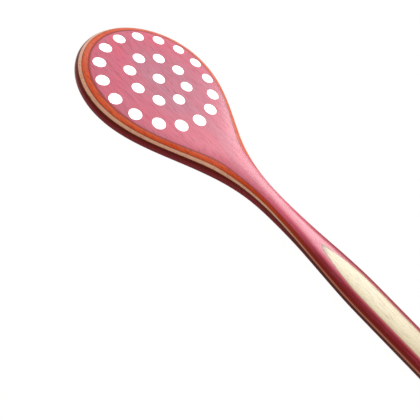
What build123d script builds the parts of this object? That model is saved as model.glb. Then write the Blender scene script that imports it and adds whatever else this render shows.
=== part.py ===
"""A perforated serving spoon carved from a glued blank of eight dyed wood plies.

Frame: millimetres, +Z up, the spoon lies face up along X with its handle towards +X.
The origin is the middle of the bounding box, on the surface that the spoon lies on.

The blank is eight flat plies glued face to face.  Carving the blank to the spoon's rounded
body cuts through the plies, so each ply shows as a band along the flanks, and its outline at
any height is the body's outline there.  A ply is therefore a loft through the outlines at a
few heights.  The uppermost ply survives only as a strip on the crest of the handle, and the
lowest only under the blade and under the handle's end, because the handle is hollowed below.
"""
import math
import os

from build123d import *

os.makedirs("parts", exist_ok=True)

# --- driving dimensions, mm -----------------------------------------------------------------
LENGTH = 305.0                    # a 12 inch spoon
PLY = 0.92                        # thickness of one dyed ply
BLADE_RADIUS = 31.8               # the blade's round end
NECK_HALF = 4.9                   # half-width of the neck
GRIP_HALF = 8.1                   # half-width of the handle past the neck
END_HALF = 8.9                    # half-width and radius of the handle's round end
NECK_REACH = 72.0                 # neck, measured from the centre of the blade
GRIP_REACH = 120.0                # where the handle reaches its full width
SWELL_START = 170.0               # where the handle starts to swell and deepen to its end
CREST_REACH = 95.0                # tip of the strip of crest ply
CREST_THICKNESS = 0.34            # what carving leaves of the crest ply
TAPER_POWER = 1.22                # how quickly the blade draws in to the neck
HOLE_RADIUS = 2.5                 # drain holes
RING_RADII = (12.0, 24.0)         # two rings of holes around the centre hole
RING_COUNTS = (8, 16)
HOLE_OFFSET = 0.9                 # centre hole, ahead of the centre of the blade's round end
CREST_RISE = 0.36                 # how far the ridge line climbs into the crest ply
CREST_SPAN = (90.0, 112.0)        # reaches between which it climbs
GIRTH_DEPTH = 4.6                 # widest line of the blade's flanks, below the face
GIRTH_RISE = 2.0                  # how much higher that line is on the handle
GIRTH_SPAN = (45.0, 105.0)        # reaches between which it rises
END_DROP = 0.6                    # how much lower it is at the handle's end
KEEL_RISE = 1.25                  # underside of the handle, above the base
KEEL_SPAN = (40.0, 100.0)         # reaches between which the underside rises
KEEL_LANDING = 12.0               # it is down again this far before END_REACH
ROUND_POWER = 2.0                 # exponent of a round section
BLADE_SQUARENESS = 4.8            # added across the blade, to make it flat
BLADE_SPAN = (13.0, 46.0)         # reaches between which the flatness fades
FLANK_SQUARENESS = 1.6            # added down the handle, to square its flanks
FLANK_SPAN = (40.0, 78.0)         # reaches between which the flanks square up
UNDER_BLADE = (60.0, 3.5)         # exponents across and down the underside of the blade
UNDER_HANDLE = (8.0, 4.0)         # and of the handle
UNDER_SPAN = (40.0, 90.0)         # reaches between which one becomes the other

# plies counted down from the face of the blade; the crest ply lies above the face, and the
# base, the lowest, is carved through into a piece under the blade and one under the end
LOWER_PLIES = (
    "red_ply",
    "orange_ply",
    "cream_core_ply",
    "brown_ply",
    "maroon_ply",
    "wine_ply",
)
FACE_Z = PLY * (len(LOWER_PLIES) + 1)   # height of the blade's face
BLADE_X = BLADE_RADIUS - LENGTH / 2
END_REACH = LENGTH - BLADE_RADIUS - END_HALF

# stations of the outlines, from the centre of the blade
STATIONS = (0, 3, 8, 14, 20, 26, 32, 38, 44, 50, 56, 62, 68, 76, 84, 93, 103, 113, 125, 142, 160,
            178, 196, 214, 232, 248, 259, END_REACH)
HOLLOW_STATIONS = (40, 52, 64, 76, 88, 100, 120, 140, 170, 190, 210, 230, 250)
HOLLOW_DROP = 0.04                # the hollow runs out of the base this far below it
TOP_SHARE = 0.988                 # an outline stops shrinking this near the crest
LOW_SHARE = 0.97                  # and this near the keel
LAYERS = 2                        # bevelled steps in one ply


def ease(value: float, start: float, stop: float) -> float:
    """Rise smoothly from 0 at start to 1 at stop."""
    t = min(1.0, max(0.0, (value - start) / (stop - start)))
    return t * t * (3.0 - 2.0 * t)


def half_width(reach: float) -> float:
    """Half-width of the spoon: a raised cosine to the neck, then an eased swell to the grip."""
    if reach <= NECK_REACH:
        cosine = 0.5 * (1.0 + math.cos(math.pi * reach / NECK_REACH))
        return NECK_HALF + (BLADE_RADIUS - NECK_HALF) * cosine**TAPER_POWER
    grip = NECK_HALF + (GRIP_HALF - NECK_HALF) * ease(reach, NECK_REACH, GRIP_REACH)
    return grip + (END_HALF - GRIP_HALF) * ease(reach, SWELL_START, END_REACH)


def crest(reach: float) -> float:
    """Height of the ridge line: level with the blade's face, then up into the crest ply."""
    return FACE_Z + CREST_RISE * ease(reach, *CREST_SPAN)


def girth(reach: float) -> float:
    """Height of the widest line of the flanks."""
    handle_rise = GIRTH_RISE * ease(reach, *GIRTH_SPAN)
    end_drop = END_DROP * ease(reach, SWELL_START, END_REACH)
    return FACE_Z - GIRTH_DEPTH + handle_rise - end_drop


def keel(reach: float) -> float:
    """Height of the underside: the base on the blade and at the end, raised between them."""
    landing = 1.0 - ease(reach, SWELL_START, END_REACH - KEEL_LANDING)
    return KEEL_RISE * ease(reach, *KEEL_SPAN) * landing


def face_power(reach: float) -> float:
    """Exponent across the section: large on the flat blade, round on the handle."""
    return ROUND_POWER + BLADE_SQUARENESS * (1.0 - ease(reach, *BLADE_SPAN))


def flank_power(reach: float) -> float:
    """Exponent down the section: round at the blade's rim, squarer on the handle's flanks."""
    return ROUND_POWER + FLANK_SQUARENESS * ease(reach, *FLANK_SPAN)


def underside_powers(reach: float) -> tuple[float, float]:
    """Exponents below the widest line: a flat underside with a tight corner all round."""
    share = ease(reach, *UNDER_SPAN)
    across, down = (blade + (handle - blade) * share
                    for blade, handle in zip(UNDER_BLADE, UNDER_HANDLE))
    return across, down


def outline_half(reach: float, height: float) -> float:
    """Half-width at a height, on the superellipse |y/w|^across + |z/h|^down = 1."""
    middle = girth(reach)
    across, down = face_power(reach), flank_power(reach)
    share = min(TOP_SHARE, (height - middle) / (crest(reach) - middle))
    if height < middle:
        across, down = underside_powers(reach)
        share = min(LOW_SHARE, (middle - height) / (middle - keel(reach)))
    return half_width(reach) * (1.0 - share**down) ** (1.0 / across)


def draw_outline(height: float, start: float = 0.0) -> None:
    """Draw the closed outline at a height: two flanks, joined by a half circle at each end."""
    reaches = [start] + [station for station in STATIONS if station > start]
    right = [(BLADE_X + reach, -outline_half(reach, height)) for reach in reaches]
    left = [(x, -y) for x, y in reversed(right)]
    tip_radius, end_radius = left[-1][1], left[0][1]
    Spline(*right)
    ThreePointArc(right[-1], (right[-1][0] + end_radius, 0), left[0])
    Spline(*left)
    ThreePointArc(left[-1], (left[-1][0] - tip_radius, 0), right[0])


def outline_sketch(height: float, start: float = 0.0) -> Sketch:
    """The filled outline at a height, with its four curves kept apart for lofting."""
    with BuildLine() as outline:
        draw_outline(height, start)
    return make_face(outline.edges()).moved(Location((0, 0, height)))


def ply_sections(floor_z: float) -> list[Sketch]:
    """Outlines of one whole ply, from its lower glue line to its upper one."""
    return [outline_sketch(floor_z + PLY * step / LAYERS) for step in range(LAYERS + 1)]


def drill_drain_holes() -> None:
    """Drill the centre hole and the two rings straight down through the active ply."""
    depth = 4 * FACE_Z
    with Locations((BLADE_X + HOLE_OFFSET, 0, 0)):
        Cylinder(HOLE_RADIUS, depth, mode=Mode.SUBTRACT)
        for radius, count in zip(RING_RADII, RING_COUNTS):
            with PolarLocations(radius, count):
                Cylinder(HOLE_RADIUS, depth, mode=Mode.SUBTRACT)


# --- the hollow under the handle, taken out of the lowest plies ---------------------------------
with BuildPart() as handle_hollow:
    with BuildSketch(Plane.XZ):
        with BuildLine():
            ridge = [(BLADE_X + reach, keel(reach) - HOLLOW_DROP) for reach in HOLLOW_STATIONS]
            rise = Spline(*ridge)
            Polyline(rise @ 1, (ridge[-1][0], -PLY), (ridge[0][0], -PLY), rise @ 0)
        make_face()
    extrude(amount=BLADE_RADIUS, both=True)

# --- the whole plies, from the face of the blade down -----------------------------------------
for index, node_name in enumerate(LOWER_PLIES):
    floor_z = FACE_Z - PLY * (index + 1)
    sections = ply_sections(floor_z)
    with BuildPart() as ply:
        loft(sections, ruled=True)
        if floor_z < keel(GRIP_REACH):
            add(handle_hollow.part, mode=Mode.SUBTRACT)
        drill_drain_holes()
    ply.part.label = node_name
    export_step(ply.part, f"parts/{node_name}.step")

# --- the base ply, carved through under the handle into two pieces ------------------------------
base_sections = ply_sections(0.0)
with BuildPart() as base_ply:
    loft(base_sections, ruled=True)
    add(handle_hollow.part, mode=Mode.SUBTRACT)
    drill_drain_holes()

base_pieces = base_ply.part.solids().sort_by(Axis.X)
for node_name, piece in zip(("base_ply_blade", "base_ply_end"), base_pieces):
    with BuildPart() as base_piece:
        add(piece)
    base_piece.part.label = node_name
    export_step(base_piece.part, f"parts/{node_name}.step")

# --- the crest ply, left only on the ridge of the handle ---------------------------------------
crest_levels = (FACE_Z, FACE_Z + 0.6 * CREST_THICKNESS, FACE_Z + CREST_THICKNESS)
crest_sections = [outline_sketch(level, CREST_REACH) for level in crest_levels]
with BuildPart() as cream_face_ply:
    loft(crest_sections, ruled=True)
cream_face_ply.part.label = "cream_face_ply"
export_step(cream_face_ply.part, "parts/cream_face_ply.step")
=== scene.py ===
"""A perforated wooden spoon, carved from eight dyed veneers that are glued into one blank.

Every ply is its own closed piece.  All the pieces share one carved body, whose cross-section
is a superellipse: |y / w| ** n + |z / h| ** m = 1, flat and round-rimmed on the blade, and a
soft oval on the handle.  A ply is the part of that body between two glue lines.
"""
import logging
import math
from dataclasses import dataclass
from enum import Enum

import bmesh
import bpy
import numpy as np
from mathutils import Matrix, Vector


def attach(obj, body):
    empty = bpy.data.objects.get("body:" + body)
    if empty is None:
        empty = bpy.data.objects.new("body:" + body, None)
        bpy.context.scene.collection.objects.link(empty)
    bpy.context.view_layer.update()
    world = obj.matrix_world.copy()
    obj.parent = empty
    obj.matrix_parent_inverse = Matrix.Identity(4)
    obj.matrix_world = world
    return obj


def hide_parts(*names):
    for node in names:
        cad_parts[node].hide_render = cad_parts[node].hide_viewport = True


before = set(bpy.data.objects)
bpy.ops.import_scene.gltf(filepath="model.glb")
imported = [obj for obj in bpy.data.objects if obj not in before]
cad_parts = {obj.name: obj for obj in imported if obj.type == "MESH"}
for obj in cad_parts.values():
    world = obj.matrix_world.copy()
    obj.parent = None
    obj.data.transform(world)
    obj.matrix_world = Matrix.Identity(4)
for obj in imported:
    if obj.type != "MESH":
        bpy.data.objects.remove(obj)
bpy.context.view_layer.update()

LOG = logging.getLogger("spoon")
MM = 0.001
BODY = "root"
FACE_LEVEL = 6  # the ply whose upper side is the blade's bare face, with no glue line on it
ON_CENTRE = 1e-7  # a cosine below this puts a point on the centre line
MERGE_DISTANCE = 1e-7  # metres
CREASE_DEGREES = 38.0  # sharper edges stay sharp in the shading
Colour = tuple[float, float, float]
Spot = tuple[float, float, float]
Pair = tuple[float, float]


# --- the carved body ---------------------------------------------------------------------------
def ease(value: np.ndarray, start: float, stop: float) -> np.ndarray:
    """Rise smoothly from 0 at start to 1 at stop: t * t * (3 - 2 * t).

    Args:
        value: Places along the spoon, in mm.
        start: Where the rise begins.
        stop: Where it ends.

    Returns:
        The eased share, 0 to 1.
    """
    t = np.clip((value - start) / (stop - start), 0.0, 1.0)
    return t * t * (3.0 - 2.0 * t)


@dataclass(frozen=True)
class CarvedBody:
    """The carved body: sizes in mm, exponents of its section and the fineness of its outline.

    Reaches are measured from the blade's centre.  The crest, girth and keel are the lines of the
    top, the widest places and the underside, each with the span in which it rises.  The under
    pairs are the exponents below the girth, across and down.
    """

    length: float = 305.0
    ply: float = 0.92
    blade_radius: float = 31.8
    neck_half: float = 4.9
    grip_half: float = 8.1
    end_half: float = 8.9
    neck_reach: float = 72.0
    grip_reach: float = 120.0
    swell_start: float = 170.0
    taper_power: float = 1.22
    crest_rise: float = 0.38
    crest_dip: float = 0.03
    crest_span: Pair = (91.0, 112.0)
    girth_depth: float = 4.6
    girth_rise: float = 2.0
    girth_span: Pair = (45.0, 105.0)
    end_drop: float = 0.6
    keel_rise: float = 1.25
    keel_span: Pair = (40.0, 100.0)
    keel_landing: float = 12.0
    round_power: float = 2.0
    blade_squareness: float = 4.8
    blade_span: Pair = (13.0, 46.0)
    flank_squareness: float = 1.6
    flank_span: Pair = (40.0, 78.0)
    under_blade: Pair = (60.0, 3.5)
    under_handle: Pair = (8.0, 4.0)
    under_span: Pair = (40.0, 90.0)
    tip_steps: int = 181
    fine_stop: float = 130.0
    fine_steps: int = 160
    coarse_start: float = 131.5
    coarse_steps: int = 90
    end_steps: int = 49

    @property
    def face_z(self) -> float:
        """Height of the blade's face, on top of the ply at the face level."""
        return (FACE_LEVEL + 1) * self.ply

    @property
    def blade_x(self) -> float:
        """Place of the blade's centre along X."""
        return self.blade_radius - self.length / 2

    @property
    def end_reach(self) -> float:
        """Reach of the centre of the handle's round end."""
        return self.length - self.blade_radius - self.end_half

    def half_width(self, reach: np.ndarray) -> np.ndarray:
        """Half-width: a raised cosine to the neck, then an eased swell to the grip and end.

        Args:
            reach: Places along the spoon.

        Returns:
            Half-widths in mm.
        """
        turn = np.clip(reach / self.neck_reach, 0.0, 1.0)
        cosine = 0.5 * (1.0 + np.cos(np.pi * turn))
        taper = (self.blade_radius - self.neck_half) * cosine**self.taper_power
        grip = (self.grip_half - self.neck_half) * ease(reach, self.neck_reach, self.grip_reach)
        swell = (self.end_half - self.grip_half) * ease(reach, self.swell_start, self.end_reach)
        return self.neck_half + taper + grip + swell

    def crest(self, reach: np.ndarray) -> np.ndarray:
        """Height of the ridge line: just under the blade's face, then up a straight ramp.

        Args:
            reach: Places along the spoon.

        Returns:
            Heights in mm.
        """
        start, stop = self.crest_span
        ramp = np.clip((reach - start) / (stop - start), 0.0, 1.0)
        return self.face_z - self.crest_dip + self.crest_rise * ramp

    def girth(self, reach: np.ndarray) -> np.ndarray:
        """Height of the widest line of the flanks.

        Args:
            reach: Places along the spoon.

        Returns:
            Heights in mm.
        """
        rise = self.girth_rise * ease(reach, *self.girth_span)
        drop = self.end_drop * ease(reach, self.swell_start, self.end_reach)
        return self.face_z - self.girth_depth + rise - drop

    def keel(self, reach: np.ndarray) -> np.ndarray:
        """Height of the underside: on the table, raised between the blade and the end."""
        landing = 1.0 - ease(reach, self.swell_start, self.end_reach - self.keel_landing)
        return self.keel_rise * ease(reach, *self.keel_span) * landing

    def powers(self, reach: np.ndarray, above: np.ndarray) -> tuple[np.ndarray, np.ndarray]:
        """Exponents of the section, across and down it.

        Args:
            reach: Places along the spoon.
            above: True where the point lies above the widest line.

        Returns:
            The exponent on the width and the exponent on the height.
        """
        across = self.round_power + self.blade_squareness * (1.0 - ease(reach, *self.blade_span))
        down = self.round_power + self.flank_squareness * ease(reach, *self.flank_span)
        handle_share = ease(reach, *self.under_span)
        low_across, low_down = (
            blade + (handle - blade) * handle_share
            for blade, handle in zip(self.under_blade, self.under_handle))
        return np.where(above, across, low_across), np.where(above, down, low_down)

    def angle_at(self, reach: np.ndarray, height: float) -> np.ndarray:
        """Section angle at a height: from -90 degrees at the keel to 90 at the crest.

        Args:
            reach: Places along the spoon.
            height: The height in mm.

        Returns:
            Angles in radians.
        """
        girth = self.girth(reach)
        above = height >= girth
        span = np.where(above, self.crest(reach) - girth, girth - self.keel(reach))
        share = np.clip(np.abs(height - girth) / span, 0.0, 1.0)
        down = self.powers(reach, above)[1]
        return np.where(above, 1.0, -1.0) * np.arcsin(share ** (down / 2.0))

    def surface(self, reach: np.ndarray, heading: np.ndarray, angle: np.ndarray) -> np.ndarray:
        """Points of the carved surface.

        The offset from the centre line is w * cos(angle) ** (2 / n), along the heading, and the
        height from the girth is h * sin(angle) ** (2 / m).

        Args:
            reach: Place of the section's foot on the centre line.
            heading: Direction of the section in plan, from +X.
            angle: Section angle, as angle_at gives.

        Returns:
            Points in metres, in the shape of angle with a last axis of three.
        """
        above = angle >= 0.0
        across, down = self.powers(reach, above)
        girth = self.girth(reach)
        offset = self.half_width(reach) * np.maximum(np.cos(angle), 0.0) ** (2.0 / across)
        offset = np.where(np.cos(angle) < ON_CENTRE, 0.0, offset)
        span = np.where(above, self.crest(reach) - girth, self.keel(reach) - girth)
        height = girth + span * np.abs(np.sin(angle)) ** (2.0 / down)
        x = self.blade_x + reach + offset * np.cos(heading)
        return np.stack([x, offset * np.sin(heading), height], axis=-1) * MM

    def outline_course(self) -> tuple[np.ndarray, np.ndarray]:
        """Walk once round the plan: tip half turn, right flank, end half turn, left flank.

        Returns:
            The foot on the centre line and the heading of each point of the walk.
        """
        tip_turn = np.linspace(0.5 * np.pi, 1.5 * np.pi, self.tip_steps)[:-1]
        fine = np.linspace(0.0, self.fine_stop, self.fine_steps)
        coarse = np.linspace(self.coarse_start, self.end_reach, self.coarse_steps)
        flank = np.concatenate([fine, coarse])
        end_turn = np.linspace(-0.5 * np.pi, 0.5 * np.pi, self.end_steps)[1:-1]
        end = end_turn * 0.0 + self.end_reach
        reach = np.concatenate([tip_turn * 0.0, flank, end, flank[:0:-1]])
        right = np.full(flank.size, -0.5 * np.pi)
        left = np.full(flank.size - 1, 0.5 * np.pi)
        return reach, np.concatenate([tip_turn, right, end_turn, left])


# --- shader building -----------------------------------------------------------------------------
class Graph:
    """A thin, typed wrapper over one shader node tree."""

    def __init__(self, tree: bpy.types.NodeTree) -> None:
        """Keep the tree."""
        self.tree = tree

    def add(self, kind: str, label: str = "", **settings: object) -> bpy.types.Node:
        """Add a node.

        Args:
            kind: The node's type name.
            label: What it is for.
            **settings: Properties of the node.

        Returns:
            The new node.
        """
        node = self.tree.nodes.new(kind)
        node.label = label
        for name, value in settings.items():
            setattr(node, name, value)
        return node

    def join(self, source: bpy.types.NodeSocket, target: bpy.types.NodeSocket) -> None:
        """Link two sockets."""
        self.tree.links.new(source, target)

    def feed(self, target: bpy.types.NodeSocket, value: object) -> None:
        """Give a socket a link or a plain value.

        Args:
            target: The socket.
            value: Another socket to link, a plain value, or None to leave the socket alone.
        """
        if isinstance(value, bpy.types.NodeSocket):
            self.join(value, target)
        elif value is not None:
            target.default_value = value

    def maths(self, operation: str, first: object, second: object = None, third: object = None,
              clamp: bool = False) -> bpy.types.NodeSocket:
        """Work out one number from up to three.

        Args:
            operation: The Math node's operation.
            first: First value or socket.
            second: Second value or socket.
            third: Third value or socket.
            clamp: Keep the result between 0 and 1.

        Returns:
            The result's socket.
        """
        node = self.add("ShaderNodeMath", operation=operation, use_clamp=clamp)
        for socket, value in zip(node.inputs, (first, second, third)):
            self.feed(socket, value)
        return node.outputs[0]

    def step(self, value: bpy.types.NodeSocket, low: float, high: float, top: float = 1.0,
             bottom: float = 0.0) -> bpy.types.NodeSocket:
        """Rise smoothly from bottom at low to top at high.

        Args:
            value: What is measured.
            low: Where the rise begins.
            high: Where it ends.
            top: The result from high on.
            bottom: The result up to low.

        Returns:
            The result's socket.
        """
        node = self.add("ShaderNodeMapRange", interpolation_type="SMOOTHSTEP")
        self.feed(node.inputs["Value"], value)
        ends = {"From Min": low, "From Max": high, "To Min": bottom, "To Max": top}
        for name, number in ends.items():
            node.inputs[name].default_value = number
        return node.outputs["Result"]

    def blend(self, share: object, first: object, second: object) -> bpy.types.NodeSocket:
        """Mix two colours.

        Args:
            share: How much of the second colour.
            first: First colour or socket.
            second: Second colour or socket.

        Returns:
            The mixed colour's socket.
        """
        node = self.add("ShaderNodeMix", data_type="RGBA")
        self.feed(node.inputs[0], share)
        for socket, colour in ((node.inputs[6], first), (node.inputs[7], second)):
            self.feed(socket, (*colour, 1.0) if isinstance(colour, tuple) else colour)
        return node.outputs[2]

    def mean(self, share: object, first: object, second: object) -> bpy.types.NodeSocket:
        """Pass from a first number to a second one as share goes from 0 to 1.

        Args:
            share: How much of the second number.
            first: First number or socket.
            second: Second number or socket.

        Returns:
            The result's socket.
        """
        node = self.add("ShaderNodeMix", data_type="FLOAT")
        for socket, value in zip(node.inputs[0:1] + node.inputs[2:4], (share, first, second)):
            self.feed(socket, value)
        return node.outputs[0]

    def reflection_patch(self, place: bpy.types.NodeSocket, x: float, y: float, size: float,
                   core: float = 0.2) -> bpy.types.NodeSocket:
        """A soft round patch on the plan, 1 in the middle and 0 at its size, which places a painted
        reflection.

        Args:
            place: The point on the piece.
            x: The patch's centre along X, in metres.
            y: The patch's centre along Y, in metres.
            size: The patch's radius, in metres.
            core: Share of the radius where the patch is full.

        Returns:
            The patch's mask.
        """
        away = self.add("ShaderNodeVectorMath", operation="DISTANCE")
        flat = self.add("ShaderNodeVectorMath", operation="MULTIPLY")
        self.join(place, flat.inputs[0])
        flat.inputs[1].default_value = (1.0, 1.0, 0.0)
        self.join(flat.outputs[0], away.inputs[0])
        away.inputs[1].default_value = (x, y, 0.0)
        return self.step(away.outputs["Value"], core * size, size, 0.0, 1.0)

    def noise(self, place: bpy.types.NodeSocket, scale: float, detail: float,
              rough: float = 0.5, twist: float = 0.0) -> bpy.types.NodeSocket:
        """Noise at a place.

        Args:
            place: The point on the piece.
            scale: Bumps to the metre, or to the unit of a stretched place.
            detail: How many finer layers are added.
            rough: How strong the finer layers are.
            twist: How far the noise is distorted.

        Returns:
            A number near one half.
        """
        node = self.add("ShaderNodeTexNoise")
        self.join(place, node.inputs["Vector"])
        knobs = {"Scale": scale, "Detail": detail, "Roughness": rough, "Distortion": twist}
        for name, number in knobs.items():
            node.inputs[name].default_value = number
        return node.outputs["Fac"]


def linear(hex_colour: str) -> Colour:
    """Turn a hex colour into linear light, by the usual sRGB curve.

    Args:
        hex_colour: Six hex digits.

    Returns:
        Red, green and blue, 0 to 1.
    """
    channels = np.array([int(hex_colour[i:i + 2], 16) for i in (0, 2, 4)]) / 255.0
    light = np.where(channels <= 0.04045, channels / 12.92, ((channels + 0.055) / 1.055) ** 2.4)
    return tuple(float(v) for v in light)


def make_group(name: str, inputs: dict[str, float],
               outputs: tuple[str, ...]) -> tuple[Graph, dict, dict]:
    """Start a shader node group with number sockets.

    Args:
        name: The group's name.
        inputs: Input names with their defaults; a name ending in Place is a vector.
        outputs: Output names.

    Returns:
        The group's graph, its input sockets and its output sockets by name.
    """
    tree = bpy.data.node_groups.new(name, "ShaderNodeTree")
    for socket_name, default in inputs.items():
        kind = "NodeSocketVector" if socket_name.endswith("Place") else "NodeSocketFloat"
        socket = tree.interface.new_socket(name=socket_name, in_out="INPUT", socket_type=kind)
        if kind == "NodeSocketFloat":
            socket.default_value = default
    for socket_name in outputs:
        tree.interface.new_socket(name=socket_name, in_out="OUTPUT", socket_type="NodeSocketFloat")
    graph = Graph(tree)
    entry, leave = graph.add("NodeGroupInput"), graph.add("NodeGroupOutput")
    return graph, {s.name: s for s in entry.outputs}, {s.name: s for s in leave.inputs}


@dataclass(frozen=True)
class GrainLayer:
    """One layer of a veneer's figure.

    It is noise drawn out along the grain, with its stretch in metres, and it shows where the
    noise lies between low and high.
    """

    along: float
    across: float
    low: float
    high: float
    detail: float
    rough: float
    twist: float = 0.0


@dataclass(frozen=True)
class VeneerFigure:
    """The layers of a rotary-cut birch veneer, and how they add up."""

    broad: GrainLayer = GrainLayer(0.050, 0.0032, 0.36, 0.66, detail=4.0, rough=0.62, twist=0.6)
    fine: GrainLayer = GrainLayer(0.014, 0.0009, 0.40, 0.68, detail=3.0, rough=0.6, twist=0.2)
    pores: GrainLayer = GrainLayer(0.0048, 0.00042, 0.56, 0.64, detail=2.0, rough=0.55)
    clouds: GrainLayer = GrainLayer(0.040, 0.016, 0.40, 0.62, detail=3.0, rough=0.55, twist=0.8)
    broad_share: float = 0.6
    fine_share: float = 0.4
    streak_relief: float = 0.35

    def group(self) -> bpy.types.NodeTree:
        """Build the figure: long streaks, short pores and dye clouds.

        Returns:
            A group that reads a place in metres and puts out masks and a height.
        """
        graph, entry, leave = make_group(
            "veneer_figure", {"Place": 0.0, "Seed": 0.0}, ("Streak", "Pore", "Cloud", "Height"))
        shift = graph.add("ShaderNodeCombineXYZ")
        for axis in range(3):
            graph.join(entry["Seed"], shift.inputs[axis])
        moved = graph.add("ShaderNodeVectorMath", operation="ADD")
        graph.join(entry["Place"], moved.inputs[0])
        graph.join(shift.outputs[0], moved.inputs[1])

        def shown(layer: GrainLayer, top: float = 1.0) -> bpy.types.NodeSocket:
            """One layer as a mask.

            Args:
                layer: The layer.
                top: The mask's highest value.

            Returns:
                The mask's socket.
            """
            node = graph.add("ShaderNodeMapping", vector_type="POINT")
            node.inputs["Scale"].default_value = (
                1.0 / layer.along, 1.0 / layer.across, 1.0 / layer.across)
            graph.join(moved.outputs[0], node.inputs["Vector"])
            spread = graph.noise(node.outputs[0], 1.0, layer.detail, layer.rough, layer.twist)
            return graph.step(spread, layer.low, layer.high, top)

        streak = graph.maths(
            "ADD", shown(self.broad, self.broad_share), shown(self.fine, self.fine_share))
        pore = shown(self.pores)
        relief = graph.maths("MULTIPLY", streak, self.streak_relief)
        graph.join(streak, leave["Streak"])
        graph.join(pore, leave["Pore"])
        graph.join(shown(self.clouds), leave["Cloud"])
        graph.join(graph.maths("SUBTRACT", relief, pore), leave["Height"])
        return graph.tree


def glue_line_group() -> bpy.types.NodeTree:
    """Dark glue lines where two plies meet: a narrow band about each of two heights.

    Returns:
        A group with a mask of the lines.
    """
    graph, entry, leave = make_group(
        "glue_line", {"Place": 0.0, "Lower": 0.0, "Upper": 0.001, "Half Width": 0.00007}, ("Line",))
    parts = graph.add("ShaderNodeSeparateXYZ")
    graph.join(entry["Place"], parts.inputs[0])
    lines = []
    for name in ("Lower", "Upper"):
        away = graph.maths("ABSOLUTE", graph.maths("SUBTRACT", parts.outputs["Z"], entry[name]))
        share = graph.maths("DIVIDE", away, entry["Half Width"])
        lines.append(graph.maths("SUBTRACT", 1.0, share, clamp=True))
    graph.join(graph.maths("MAXIMUM", lines[0], lines[1]), leave["Line"])
    return graph.tree


# --- finishes -----------------------------------------------------------------------------------
@dataclass(frozen=True)
class DyedVeneer:
    """Colours of one dyed veneer, as hex, and how strongly its figure shows.

    The face colour is where the cut lies flat, and it is lighter than the others partly as
    painted sheen; the rim colour is the band round the blade, and the grip colour is the same
    ply along the handle, darker from the neck on.
    """

    face: str
    rim: str
    grip: str
    streak: str
    # the cloud colour is the dye clouds' colour and also the colour of a painted reflection on the
    # blade
    cloud_and_reflection: str
    pore: str
    glue: str
    seed: float
    glue_mm: float = 0.07
    cloud_share: float = 0.4
    streak_share: float = 0.5
    pore_share: float = 0.5


class Dye(Enum):
    """The dyes of the blank, each as a finish."""

    CREST = DyedVeneer("d2c4a2", "cb9f82", "b09068", "bfae88", "dccfae", "a08a66", "6a2a1c",
                       seed=1.3)
    CORE = DyedVeneer("e6b092", "e0a88a", "a8644c", "c48a6a", "e8b498", "9a5c40", "5a2014",
                      seed=3.6, glue_mm=0.15)
    RED = DyedVeneer("d4667a", "b83c4a", "7c161b", "bc5064", "b08090", "94404e", "74181c",
                     seed=2.7, glue_mm=0.18, cloud_share=0.5, streak_share=0.45)
    ORANGE = DyedVeneer("dc4f22", "c84418", "7c1c18", "b43a18", "e4743c", "8a2408", "6c180c",
                        seed=4.1, glue_mm=0.16)
    BROWN = DyedVeneer("681a0e", "681a0e", "52160c", "401006", "702a18", "260a05", "260a05",
                       seed=5.9)
    MAROON = DyedVeneer("82191c", "7e181c", "5e1a16", "5c1014", "8a2a2e", "360a0c", "360a0c",
                        seed=7.7)
    WINE = DyedVeneer("7c1a20", "7a1a20", "561512", "540f14", "822a30", "2c080a", "2c080a",
                      seed=9.2)


@dataclass(frozen=True)
class Lacquer:
    """What every dyed veneer has in common: where colours change, and the lacquer's gloss.

    A cut is a pair of values of how flat the surface lies, or of the face's share, between
    which something fades in.  Lengths are in metres, apart from patch_reach in mm.
    """

    # the flat cut's colour that these cuts place is lighter partly as painted sheen
    broad_cut: Pair = (0.74, 0.99)
    crown_cut: Pair = (0.965, 1.0)
    dark_before_neck: float = 0.012
    dark_after_neck: float = 0.028
    # the patch is a painted reflection: a soft mauve-grey sheen on the blade's face, put into the
    # colour
    patch_reach: float = 6.0
    patch_y: float = 0.003
    patch_size: float = 0.030
    patch_share: float = 0.62
    figure_share: float = 0.38
    cloud_gain: float = 1.6
    cloud_cut: Pair = (0.2, 0.8)
    flank_streaks: float = 0.35
    glue_share: float = 0.8
    roughness: float = 0.38
    pore_roughness: float = 0.18
    coat: float = 0.8
    coat_cut: Pair = (0.7, 1.0)
    coat_roughness: float = 0.38
    specular: float = 0.10
    sheen: float = 0.6
    sheen_roughness: float = 0.22
    bump_strength: float = 0.14
    bump_distance: float = 0.00006


@dataclass(frozen=True)
class MottledWhite:
    """A glowing white of two near tones, mottled by fine noise."""

    tone: str
    other_tone: str
    scale: float
    detail: float
    glow: float
    roughness: float
    cut: Pair = (0.3, 0.7)


# the holes' white glows; the glow is painted light that keeps the hole walls bright white
GLOWING_HOLE_WHITE = MottledWhite("fbfbf8", "f4f3ee", scale=900.0, detail=3.0, glow=0.55, roughness=0.45)
TABLE_WHITE = MottledWhite("ffffff", "fdfdfc", scale=300.0, detail=4.0, glow=1.0, roughness=0.9)
TABLE_BASE = 0.02  # so dark that the lamps add next to nothing to the table's glow


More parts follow.
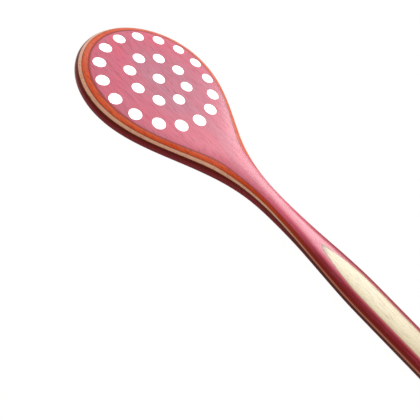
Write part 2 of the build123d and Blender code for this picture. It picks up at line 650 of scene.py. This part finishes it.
class FinishShop:
    """Builds the spoon's materials from shared node groups."""

    def __init__(self, body: CarvedBody, lacquer: Lacquer) -> None:
        """Make the shared groups.

        Args:
            body: The carved body, which places the glue lines and the handle's colour.
            lacquer: What the veneers have in common.
        """
        self.body = body
        self.lacquer = lacquer
        self.figure = VeneerFigure().group()
        self.glue = glue_line_group()

    def start(self, name: str) -> tuple[bpy.types.Material, Graph, bpy.types.Node,
                                        bpy.types.NodeSocket]:
        """Start a material.

        Args:
            name: The material's name.

        Returns:
            The material, its graph, its shader and the socket of the place on the piece.
        """
        material = bpy.data.materials.new(name)
        material.use_nodes = True
        graph = Graph(material.node_tree)
        shader = material.node_tree.nodes["Principled BSDF"]
        return material, graph, shader, graph.add("ShaderNodeTexCoord").outputs["Object"]

    def glue_mask(self, graph: Graph, place: bpy.types.NodeSocket, finish: DyedVeneer,
                  level: int) -> bpy.types.NodeSocket:
        """Mask of the glue lines below and above one ply; the bare face has none above.

        Args:
            graph: The material's graph.
            place: The point on the piece.
            finish: The ply's finish.
            level: The ply's number from the base.

        Returns:
            The mask's socket.
        """
        lines = graph.add("ShaderNodeGroup", node_tree=self.glue)
        graph.join(place, lines.inputs["Place"])
        plies_up = 2 if level == FACE_LEVEL else 1
        lines.inputs["Lower"].default_value = self.body.ply * level * MM
        lines.inputs["Upper"].default_value = self.body.ply * (level + plies_up) * MM
        lines.inputs["Half Width"].default_value = finish.glue_mm * MM
        return lines.outputs["Line"]

    def shares(self, graph: Graph,
               place: bpy.types.NodeSocket) -> tuple[bpy.types.NodeSocket, bpy.types.NodeSocket]:
        """Work out where the handle's darker colour and the flat cut's colour, lighter partly as
        painted sheen, show.

        Args:
            graph: The material's graph.
            place: The point on the piece.

        Returns:
            The handle's share and the share of the face colour, which is partly painted sheen.
        """
        look = self.lacquer
        facing = graph.add("ShaderNodeSeparateXYZ")
        graph.join(graph.add("ShaderNodeNewGeometry").outputs["Normal"], facing.inputs[0])
        parts = graph.add("ShaderNodeSeparateXYZ")
        graph.join(place, parts.inputs[0])
        neck_x = (self.body.blade_x + self.body.neck_reach) * MM
        grip_share = graph.step(
            parts.outputs["X"], neck_x - look.dark_before_neck, neck_x + look.dark_after_neck)
        flatness = graph.maths("ABSOLUTE", facing.outputs["Z"])
        # flat-lying surfaces take the face colour, lighter partly as painted sheen; on the handle
        # only the crown's top does
        broad_face_and_sheen = graph.step(flatness, *look.broad_cut)
        crown_face_and_sheen = graph.step(flatness, *look.crown_cut)
        return grip_share, graph.mean(grip_share, broad_face_and_sheen, crown_face_and_sheen)

    def figured(self, graph: Graph, place: bpy.types.NodeSocket, figure: bpy.types.Node,
                finish: DyedVeneer, face_and_sheen_share: bpy.types.NodeSocket,
                colour: bpy.types.NodeSocket) -> bpy.types.NodeSocket:
        """Lay clouds, a painted reflection, streaks and pores over a veneer's colour.

        Args:
            graph: The material's graph.
            place: The point on the piece.
            figure: The figure group's node.
            finish: The ply's finish.
            face_and_sheen_share: Where the cut lies flat.
            colour: The plain colour.

        Returns:
            The figured colour.
        """
        look = self.lacquer
        # painted reflection: a soft round patch near the blade's centre, blended in with the dye
        # clouds
        patch_x = (self.body.blade_x + look.patch_reach) * MM
        painted_reflection = graph.reflection_patch(place, patch_x, look.patch_y, look.patch_size)
        drifts = graph.maths("MULTIPLY", figure.outputs["Cloud"], look.figure_share)
        clouds = graph.maths("MULTIPLY_ADD", painted_reflection, look.patch_share, drifts)
        clouds = graph.maths("MULTIPLY", clouds, finish.cloud_share * look.cloud_gain)
        clouds = graph.maths("MULTIPLY", clouds, graph.step(face_and_sheen_share, *look.cloud_cut))
        colour = graph.blend(clouds, colour, linear(finish.cloud_and_reflection))
        streaks = graph.maths("MULTIPLY", figure.outputs["Streak"], finish.streak_share)
        on_face = graph.step(face_and_sheen_share, 0.0, 1.0, 1.0, look.flank_streaks)
        streaks = graph.maths("MULTIPLY", streaks, on_face)
        colour = graph.blend(streaks, colour, linear(finish.streak))
        pores = graph.maths("MULTIPLY", figure.outputs["Pore"], finish.pore_share)
        return graph.blend(pores, colour, linear(finish.pore))

    def lay_lacquer(self, graph: Graph, shader: bpy.types.Node, figure: bpy.types.Node,
                    face_and_sheen_share: bpy.types.NodeSocket) -> None:
        """Give a veneer its gloss, its sheen and the fine relief of its figure.

        Args:
            graph: The material's graph.
            shader: The material's shader.
            figure: The figure group's node.
            face_and_sheen_share: Where the cut lies flat.
        """
        look = self.lacquer
        gloss = graph.maths(
            "MULTIPLY_ADD", figure.outputs["Pore"], look.pore_roughness, look.roughness)
        graph.join(gloss, shader.inputs["Roughness"])
        coat = graph.step(face_and_sheen_share, *look.coat_cut, look.coat)
        graph.join(coat, shader.inputs["Coat Weight"])
        shader.inputs["Coat Roughness"].default_value = look.coat_roughness
        shader.inputs["Specular IOR Level"].default_value = look.specular
        shader.inputs["Sheen Weight"].default_value = look.sheen
        shader.inputs["Sheen Roughness"].default_value = look.sheen_roughness
        bump = graph.add("ShaderNodeBump")
        bump.inputs["Strength"].default_value = look.bump_strength
        bump.inputs["Distance"].default_value = look.bump_distance
        graph.join(figure.outputs["Height"], bump.inputs["Height"])
        graph.join(bump.outputs[0], shader.inputs["Normal"])

    def veneer(self, name: str, dye: Dye, level: int) -> bpy.types.Material:
        """Lacquered dyed veneer.

        Args:
            name: The material's name.
            dye: Which dye.
            level: The ply's number from the base, which places its glue lines.

        Returns:
            The material.
        """
        finish: DyedVeneer = dye.value
        material, graph, shader, place = self.start(name)
        figure = graph.add("ShaderNodeGroup", node_tree=self.figure)
        graph.join(place, figure.inputs["Place"])
        figure.inputs["Seed"].default_value = finish.seed
        glue = self.glue_mask(graph, place, finish, level)
        grip_share, face_and_sheen_share = self.shares(graph, place)
        flank = graph.blend(grip_share, linear(finish.rim), linear(finish.grip))
        # the face colour is lighter partly as painted sheen
        colour = graph.blend(face_and_sheen_share, flank, linear(finish.face))
        colour = self.figured(graph, place, figure, finish, face_and_sheen_share, colour)
        lines = graph.maths("MULTIPLY", glue, self.lacquer.glue_share)
        colour = graph.blend(lines, colour, linear(finish.glue))
        graph.join(colour, shader.inputs["Base Color"])
        self.lay_lacquer(graph, shader, figure, face_and_sheen_share)
        return material

    def mottled(self, graph: Graph, shader: bpy.types.Node, place: bpy.types.NodeSocket,
                finish: MottledWhite) -> bpy.types.NodeSocket:
        """Make a shader glow in a mottled white.

        Args:
            graph: The material's graph.
            shader: The material's shader.
            place: The point on the piece.
            finish: The white.

        Returns:
            The tone's socket.
        """
        spread = graph.step(graph.noise(place, finish.scale, finish.detail), *finish.cut)
        tone = graph.blend(spread, linear(finish.tone), linear(finish.other_tone))
        graph.join(tone, shader.inputs["Emission Color"])
        shader.inputs["Emission Strength"].default_value = finish.glow
        shader.inputs["Roughness"].default_value = finish.roughness
        return tone

    def glowing_hole_lacquer(self) -> bpy.types.Material:
        """White sealing lacquer in the drain holes, brushed on, so its tone varies a little; its
        glow is painted light that brightens the holes.

        Returns:
            The material.
        """
        material, graph, shader, place = self.start("glowing_hole_lacquer")
        tone = self.mottled(graph, shader, place, GLOWING_HOLE_WHITE)
        graph.join(tone, shader.inputs["Base Color"])
        return material

    def light_table(self) -> bpy.types.Material:
        """Backlit frosted acrylic, which glows white and so takes no shadow.

        Returns:
            The material.
        """
        material, graph, shader, place = self.start("light_table")
        self.mottled(graph, shader, place, TABLE_WHITE)
        shader.inputs["Base Color"].default_value = (TABLE_BASE, TABLE_BASE, TABLE_BASE, 1.0)
        shader.inputs["Specular IOR Level"].default_value = 0.0
        return material


# --- pieces ---------------------------------------------------------------------------------------
def tidy_shell(bm: bmesh.types.BMesh) -> None:
    """Merge what coincides, drop slivers, close open rings and turn every face outwards.

    Args:
        bm: The shell, changed in place.
    """
    bmesh.ops.remove_doubles(bm, verts=bm.verts, dist=MERGE_DISTANCE)
    bmesh.ops.dissolve_degenerate(bm, dist=MERGE_DISTANCE, edges=bm.edges)
    loose = [edge for edge in bm.edges if not edge.link_faces]
    bmesh.ops.delete(bm, geom=loose, context="EDGES")
    open_edges = [edge for edge in bm.edges if len(edge.link_faces) == 1]
    if open_edges:
        bmesh.ops.holes_fill(bm, edges=open_edges, sides=0)
    bmesh.ops.recalc_face_normals(bm, faces=bm.faces)


def grid_mesh(name: str, points: np.ndarray) -> bpy.types.Mesh:
    """Mesh of a grid of points whose columns close on themselves.

    Args:
        name: The mesh's name.
        points: Array of rings, points and three coordinates.

    Returns:
        The mesh, with quads between neighbouring rings.
    """
    rings, columns = points.shape[:2]
    index = np.arange(rings * columns).reshape(rings, columns)
    after = np.roll(index, -1, axis=1)
    quads = np.stack([index[:-1], after[:-1], after[1:], index[1:]], axis=-1).reshape(-1, 4)
    mesh = bpy.data.meshes.new(name)
    mesh.from_pydata(points.reshape(-1, 3).tolist(), [], quads.tolist())
    return mesh


def place_object(mesh: bpy.types.Mesh) -> bpy.types.Object:
    """Put a mesh in the scene as an object at the origin.

    Args:
        mesh: The mesh, whose name the object takes.

    Returns:
        The object.
    """
    piece = bpy.data.objects.new(mesh.name, mesh)
    bpy.context.scene.collection.objects.link(piece)
    return piece


@dataclass(frozen=True)
class DrainHoles:
    """The centre hole and two rings of holes through the blade, in mm."""

    radius: float = 2.5
    rim: float = 0.05
    offset: float = 0.9
    rings: tuple[tuple[float, int], ...] = ((0.0, 1), (12.0, 8), (24.0, 16))
    sides: int = 56
    rim_steps: int = 6
    spare_radius: float = 0.9
    spare_height: float = 1.5

    def centres(self) -> np.ndarray:
        """Centres of the holes about the blade's centre, each ring evenly turned.

        Returns:
            An array of two coordinates to a hole, in mm.
        """
        spots = []
        for ring_radius, count in self.rings:
            turn = np.arange(count) * 2.0 * np.pi / count
            spots.append(ring_radius * np.stack([np.cos(turn), np.sin(turn)], axis=-1))
        return np.concatenate(spots)

    def cutter(self, body: CarvedBody, material: bpy.types.Material) -> bpy.types.Object:
        """Make the drill: one turned plug for each hole, flared where it meets a face.

        Its profile is a straight wall that opens in a quarter circle at the top and the bottom.

        Args:
            body: The carved body.
            material: What the walls of the holes wear.

        Returns:
            The object that cuts the holes.
        """
        quarter = np.linspace(0.0, 0.5 * np.pi, self.rim_steps)
        flare_out, flare_up = self.rim * (1.0 - np.cos(quarter)), self.rim * np.sin(quarter)
        turn = np.arange(self.sides) * 2.0 * np.pi / self.sides
        middle = np.zeros(1)
        girth, crest = body.girth(middle), body.crest(middle)
        across = body.powers(middle, np.ones(1, bool))[0]
        spare = [self.spare_radius]
        radius = self.radius + np.concatenate([spare, flare_out[::-1], flare_out, spare])
        bm = bmesh.new()
        for x, y in self.centres():
            away = np.array([math.hypot(x + self.offset, y)])
            lift = (1.0 - (away / body.blade_radius) ** across) ** (1.0 / body.round_power)
            top = float((girth + (crest - girth) * lift)[0])
            height = np.concatenate([
                [-self.spare_height],
                self.rim - flare_up[::-1],
                top - self.rim + flare_up,
                [top + self.spare_height],
            ])
            wall = np.stack([
                body.blade_x + self.offset + x + radius[:, None] * np.cos(turn),
                y + radius[:, None] * np.sin(turn),
                np.repeat(height[:, None], self.sides, axis=1),
            ], axis=-1) * MM
            mesh = grid_mesh("plug", wall)
            bm.from_mesh(mesh)
            bpy.data.meshes.remove(mesh)
        tidy_shell(bm)
        mesh = bpy.data.meshes.new("drill")
        bm.to_mesh(mesh)
        bm.free()
        mesh.materials.append(material)
        return place_object(mesh)


class Cut(Enum):
    """How much of its ply's shell a piece keeps."""

    WHOLE = "whole"
    BLADE = "blade"
    END = "end"


@dataclass(frozen=True)
class Ply:
    """One ply of the blank: its node, dye, place in the stack and what it is cut from."""

    node: str
    slot: str
    dye: Dye
    level: int
    rings: int
    drilled: bool = True
    cut: Cut = Cut.WHOLE


@dataclass
class LaminatedSpoon:
    """The whole spoon: the carved body, its holes and its stack of plies."""

    body: CarvedBody
    holes: DrainHoles
    shop: FinishShop
    stack: tuple[Ply, ...] = (
        Ply("cream_face_ply", "cream_wood", Dye.CREST, 7, 12, drilled=False),
        Ply("red_ply", "red_wood", Dye.RED, 6, 34),
        Ply("orange_ply", "orange_wood", Dye.ORANGE, 5, 10),
        Ply("cream_core_ply", "cream_wood", Dye.CORE, 4, 10),
        Ply("brown_ply", "brown_wood", Dye.BROWN, 3, 10),
        Ply("maroon_ply", "maroon_wood", Dye.MAROON, 2, 10),
        Ply("wine_ply", "wine_wood", Dye.WINE, 1, 10),
        Ply("base_ply_blade", "maroon_wood", Dye.MAROON, 0, 16, cut=Cut.BLADE),
        Ply("base_ply_end", "maroon_wood", Dye.MAROON, 0, 16, drilled=False, cut=Cut.END),
    )

    def ply_mesh(self, ply: Ply) -> bpy.types.Mesh:
        """Shell of one ply: rings of the carved surface from its lower to its upper glue line.

        Args:
            ply: The ply.

        Returns:
            Its closed mesh, without holes.
        """
        reach, heading = self.body.outline_course()
        low = self.body.angle_at(reach, self.body.ply * ply.level)
        high = self.body.angle_at(reach, self.body.ply * (ply.level + 1))
        share = np.linspace(0.0, 1.0, ply.rings)[:, None]
        angle = low + (high - low) * share
        points = self.body.surface(np.broadcast_to(reach, angle.shape), heading, angle)
        mesh = grid_mesh(ply.node + "_carved", points)
        bm = bmesh.new()
        bm.from_mesh(mesh)
        tidy_shell(bm)
        if ply.cut is not Cut.WHOLE:
            far = [vert for vert in bm.verts if (vert.co.x > 0.0) == (ply.cut is Cut.BLADE)]
            bmesh.ops.delete(bm, geom=far, context="VERTS")
        bm.to_mesh(mesh)
        bm.free()
        return mesh

    def drill(self, piece: bpy.types.Object, cutter: bpy.types.Object) -> None:
        """Cut the drain holes through a piece and keep the result as its mesh.

        Args:
            piece: The piece.
            cutter: The drill.
        """
        bite = piece.modifiers.new("drain_holes", "BOOLEAN")
        bite.operation = "DIFFERENCE"
        bite.solver = "EXACT"
        bite.material_mode = "TRANSFER"
        bite.object = cutter
        seen = piece.evaluated_get(bpy.context.evaluated_depsgraph_get())
        cut = bpy.data.meshes.new_from_object(seen)
        cut.name = piece.data.name
        piece.modifiers.clear()
        piece.data = cut

    def build(self) -> list[bpy.types.Object]:
        """Build, drill and dress every ply.

        Returns:
            The finished pieces.
        """
        lacquer = self.shop.glowing_hole_lacquer()
        cutter = self.holes.cutter(self.body, lacquer)
        pieces = []
        for ply in self.stack:
            piece = place_object(self.ply_mesh(ply))
            piece.data.materials.append(self.shop.veneer(ply.node + "_veneer", ply.dye, ply.level))
            if ply.drilled:
                self.drill(piece, cutter)
            piece.data.shade_smooth()
            piece.data.set_sharp_from_angle(angle=math.radians(CREASE_DEGREES))
            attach(piece, BODY)
            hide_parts(ply.node)
            LOG.info("%s: %d faces", piece.name, len(piece.data.polygons))
            pieces.append(piece)
        bpy.data.objects.remove(cutter, do_unlink=True)
        return pieces


# --- studio ---------------------------------------------------------------------------------------
@dataclass(frozen=True)
class Softbox:
    """One square lamp: its name, where it hangs, what it faces, its side and its watts."""

    name: str
    place: Spot
    target: Spot
    size: float
    power: float

    def hang(self) -> None:
        """Put the lamp in the scene."""
        data = bpy.data.lights.new(self.name, "AREA")
        data.size = self.size
        data.energy = self.power
        lamp = bpy.data.objects.new(self.name, data)
        bpy.context.scene.collection.objects.link(lamp)
        turn = (Vector(self.place) - Vector(self.target)).to_track_quat("Z", "Y")
        lamp.matrix_world = Matrix.Translation(self.place) @ turn.to_matrix().to_4x4()


@dataclass(frozen=True)
class Studio:
    """Floor, lights and camera, in metres and degrees, with the lens and sensor in mm."""

    eye: Spot = (-0.04594, -0.13687, 0.13523)
    aim: Spot = (-0.06493, -0.02830, 0.00644)
    roll: float = 38.8
    lens: float = 41.25
    sensor: float = 36.0
    near: float = 0.005
    floor_half: float = 3.0
    air: float = 0.42
    softboxes: tuple[Softbox, ...] = (
        Softbox("top_softbox", (-0.1, -0.1, 0.9), (-0.08, 0.0, 0.0), 0.9, 1.8),
        Softbox("sheen_softbox", (0.02, 0.62, 0.50), (-0.08, 0.0, 0.0), 0.5, 6.4),
        Softbox("tip_softbox", (-0.75, 0.10, 0.16), (-0.15, 0.0, 0.0), 0.35, 1.3),
    )

    def set_camera(self) -> None:
        """Stand the camera over the blade, turned about its own axis by the roll."""
        data = bpy.data.cameras.new("studio_camera")
        data.sensor_width = self.sensor
        data.lens = self.lens
        data.clip_start = self.near
        camera = bpy.data.objects.new("studio_camera", data)
        bpy.context.scene.collection.objects.link(camera)
        ahead = (Vector(self.aim) - Vector(self.eye)).normalized()
        level = ahead.cross(Vector((0.0, 0.0, 1.0))).normalized()
        above = level.cross(ahead)
        turn = math.radians(self.roll)
        right = level * math.cos(turn) + above * math.sin(turn)
        up = above * math.cos(turn) - level * math.sin(turn)
        facing = Matrix((right, up, -ahead)).transposed().to_4x4()
        camera.matrix_world = Matrix.Translation(self.eye) @ facing
        bpy.context.scene.camera = camera

    def lay_floor(self, acrylic: bpy.types.Material) -> None:
        """Lay a wide glowing light table under the spoon.

        Args:
            acrylic: What the table is made of.
        """
        half = self.floor_half
        corners = [(-half, -half, 0.0), (half, -half, 0.0), (half, half, 0.0), (-half, half, 0.0)]
        mesh = bpy.data.meshes.new("studio_floor")
        mesh.from_pydata(corners, [], [(0, 1, 2, 3)])
        mesh.materials.append(acrylic)
        place_object(mesh)

    def light(self) -> None:
        """White surroundings, a broad top light, a low softbox behind and one off the tip."""
        world = bpy.data.worlds.new("studio_air")
        world.use_nodes = True
        background = world.node_tree.nodes["Background"]
        background.inputs["Color"].default_value = (1.0, 1.0, 1.0, 1.0)
        background.inputs["Strength"].default_value = self.air
        bpy.context.scene.world = world
        for softbox in self.softboxes:
            softbox.hang()
        bpy.context.scene.view_settings.view_transform = "Standard"
        bpy.context.scene.view_settings.look = "None"


def main() -> None:
    """Build the spoon and its studio."""
    logging.basicConfig(level=logging.INFO, format="%(name)s %(message)s")
    body = CarvedBody()
    shop = FinishShop(body, Lacquer())
    spoon = LaminatedSpoon(body, DrainHoles(), shop)
    pieces = spoon.build()
    LOG.info("%d pieces", len(pieces))
    studio = Studio()
    studio.set_camera()
    studio.lay_floor(shop.light_table())
    studio.light()


if __name__ == "__main__":
    main()
